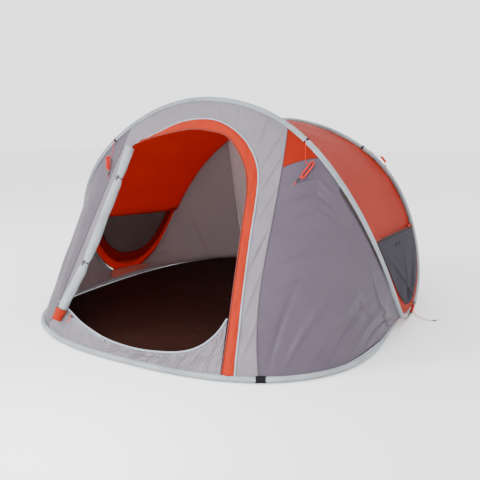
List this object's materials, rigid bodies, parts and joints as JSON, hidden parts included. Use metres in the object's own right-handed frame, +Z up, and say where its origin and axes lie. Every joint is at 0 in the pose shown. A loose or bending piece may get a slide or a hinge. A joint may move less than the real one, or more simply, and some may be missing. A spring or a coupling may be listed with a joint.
{
  "type": "pop-up tent",
  "caption": "Pop-up dome tent with two arches on a ground hoop, a D-shaped front door rolled to one side, flapped end vents, guy lines and a groundsheet.",
  "frame": {"origin": "on the ground under the middle of the tent", "axes": "+Z up, -Y out of the door, +X to the right of someone facing the door"},
  "size_m": [2.3872, 2.4639, 1.3168],
  "materials": {
    "rod": "satin",
    "ferrule": "brushed",
    "sleeve_grey": "woven, matt",
    "pale_cloth": "ripstop, coated",
    "purple_cloth": "coated weave",
    "orange_cloth": "coated weave",
    "flap_cloth": "coated weave",
    "mesh": "knitted mesh",
    "floor_cloth": "woven sheet",
    "dark_webbing": "webbing",
    "zip_tape": "zip tape",
    "zip_metal": "satin",
    "pull_plastic": "matt",
    "cord": "braided",
    "runner_plastic": "satin"
  },
  "bodies": {
    "root": {"crown_ferrule": "ferrule", "crown_hoop": "rod", "door_frame_panel": "pale_cloth", "door_roll": "pale_cloth", "door_roll_cuff": "orange_cloth", "door_roll_ties": "dark_webbing", "door_side_strip": "pale_cloth", "door_sill_panel": "pale_cloth", "door_storm_band": "orange_cloth", "door_zip": "zip_tape", "end_webbing": "dark_webbing", "front_arch_sleeve": "sleeve_grey", "front_hem_sleeve": "sleeve_grey", "front_left_guy_hank": "cord", "front_left_guy_line": "cord", "front_left_guy_runner": "runner_plastic", "front_left_panel": "purple_cloth", "front_right_gusset": "orange_cloth", "front_right_guy_hank": "cord", "front_right_guy_line": "cord", "front_right_guy_runner": "runner_plastic", "front_right_panel": "purple_cloth", "ground_ferrule": "ferrule", "ground_hoop": "rod", "groundsheet": "floor_cloth", "guy_tabs": "dark_webbing", "hem_joint_wrap": "dark_webbing", "left_end_band": "orange_cloth", "left_end_corner": "orange_cloth", "left_vent_mesh": "mesh", "peg_cord": "cord", "peg_cord_runner": "runner_plastic", "rear_arch_sleeve": "sleeve_grey", "rear_hem_sleeve": "sleeve_grey", "rear_left_guy_hank": "cord", "rear_left_guy_line": "cord", "rear_left_guy_runner": "runner_plastic", "rear_left_panel": "purple_cloth", "rear_middle_panel": "pale_cloth", "rear_right_guy_hank": "cord", "rear_right_guy_line": "cord", "rear_right_guy_runner": "runner_plastic", "rear_right_panel": "purple_cloth", "right_end_band": "orange_cloth", "right_end_corner": "orange_cloth", "right_vent_mesh": "mesh", "roof_panel": "orange_cloth"},
    "right_flap": {"right_vent_flap": "flap_cloth", "right_vent_toggles": "dark_webbing"},
    "left_flap": {"left_vent_flap": "flap_cloth", "left_vent_toggles": "dark_webbing"},
    "slider": {"zip_slider": "zip_metal"},
    "pull": {"zip_pull": "pull_plastic"}
  },
  "joints": [
    {"name": "right_flap_lift", "type": "hinge", "parent": "root", "child": "right_flap", "pos_m": [1.00111, 0.12466, 0.51245], "axis": [0.0006, -0.9977, 0.0678], "range_deg": [0, 120]},
    {"name": "left_flap_lift", "type": "hinge", "parent": "root", "child": "left_flap", "pos_m": [-1.00111, 0.12466, 0.51245], "axis": [0.0006, 0.9977, -0.0678], "range_deg": [0, 120]},
    {"name": "zip_slide", "type": "slide", "parent": "root", "child": "slider", "axis": [0.959, -0.2341, -0.1595], "range_m": [0, 0.2]},
    {"name": "pull_swing", "type": "hinge", "parent": "slider", "child": "pull", "pos_m": [-0.45833, -1.1195, 0.13752], "axis": [-0.959, 0.2341, 0.1595], "range_deg": [0, 150]}
  ]
}
